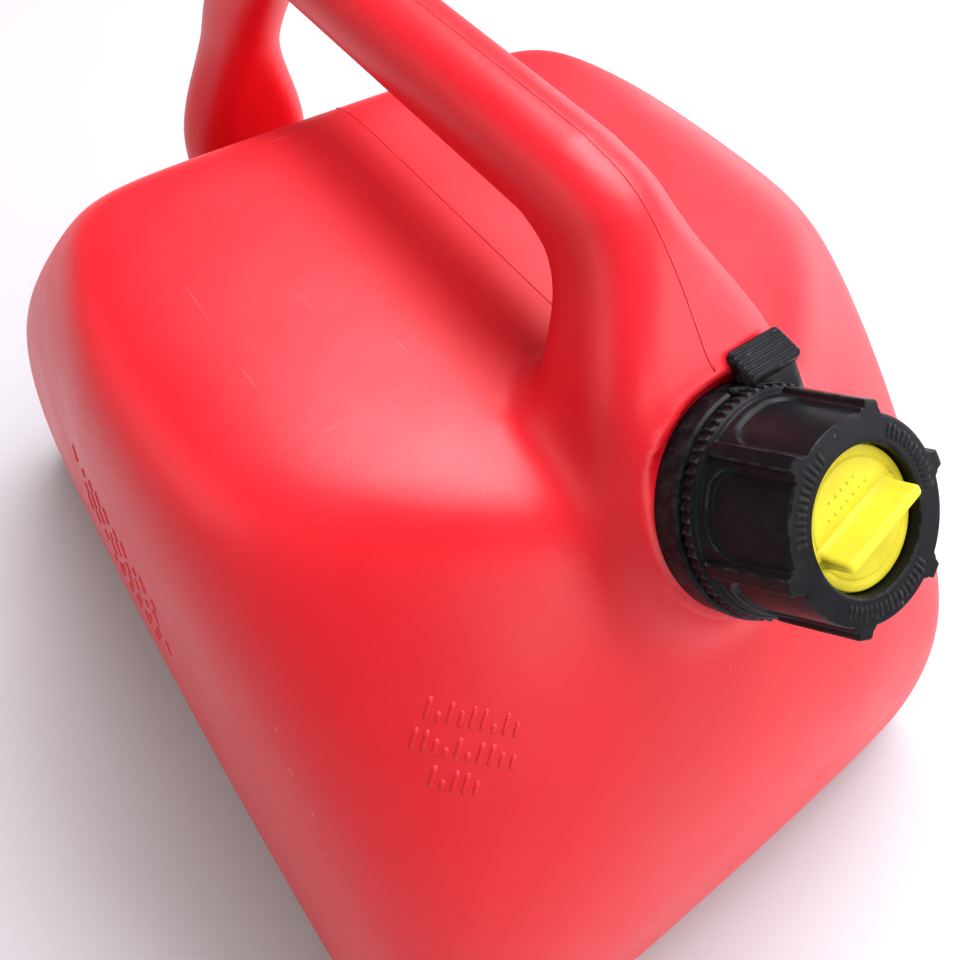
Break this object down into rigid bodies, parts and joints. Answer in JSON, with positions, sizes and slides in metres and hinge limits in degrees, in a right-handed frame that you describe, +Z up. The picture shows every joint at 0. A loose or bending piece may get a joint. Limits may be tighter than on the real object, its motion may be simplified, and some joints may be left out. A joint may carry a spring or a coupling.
{
  "type": "fuel can",
  "caption": "Moulded red fuel can with a raised carrying handle, a slanted filler neck, a ribbed screw collar with a lock tab, and a yellow stopper over a stored spout.",
  "frame": {"origin": "on the ground under the centre of the tank", "axes": "+Z up, +X towards the filler neck, along the handle; +Y to the can's left"},
  "size_m": [0.396, 0.288, 0.312],
  "materials": {
    "tank_red": "satin",
    "closure_black": "satin",
    "stopper_yellow": "satin",
    "spout_yellow": "satin",
    "hose_black": "matte",
    "seal_rubber": "matte",
    "vent_white": "satin",
    "screen_steel": "satin"
  },
  "bodies": {
    "tank": {"tank_shell": "tank_red", "lock_ring": "closure_black"},
    "lock_tab": {"lock_tab": "closure_black"},
    "spout": {"spout_gasket": "seal_rubber", "spout_base": "spout_yellow", "flame_screen": "screen_steel", "spout_bellows": "hose_black", "spout_nozzle": "spout_yellow", "vent_tube": "vent_white"},
    "stopper": {"stopper_disc": "stopper_yellow", "stopper_gasket": "seal_rubber"},
    "collar": {"screw_collar": "closure_black"},
    "tip_cap": {"tip_cap": "closure_black"}
  },
  "joints": [
    {"name": "lock_tab_flex", "type": "hinge", "parent": "tank", "child": "lock_tab", "pos_m": [0.13557, 0.02295, 0.26019], "axis": [-0.7547, 0, -0.6561], "range_deg": [0, 8], "stiffness_Nm_per_rad": 0.4},
    {"name": "spout_draw", "type": "slide", "parent": "tank", "child": "spout", "axis": [0.7547, 0, 0.6561], "range_m": [0, 0.19]},
    {"name": "closure_lift", "type": "slide", "parent": "spout", "child": "stopper", "axis": [0.7547, 0, 0.6561], "range_m": [0, 0.0125]},
    {"name": "collar_turn", "type": "hinge", "parent": "stopper", "child": "collar", "pos_m": [0.1452, 0, 0.2392], "axis": [0.7547, 0, 0.6561], "range_deg": [0, 900]},
    {"name": "tip_cap_pull", "type": "slide", "parent": "spout", "child": "tip_cap", "axis": [-0.7547, 0, -0.6561], "range_m": [0, 0.02]}
  ],
  "couplings": [
    {"joint": "closure_lift", "follows": "collar_turn", "m_per_rad": 0.00079577}
  ]
}
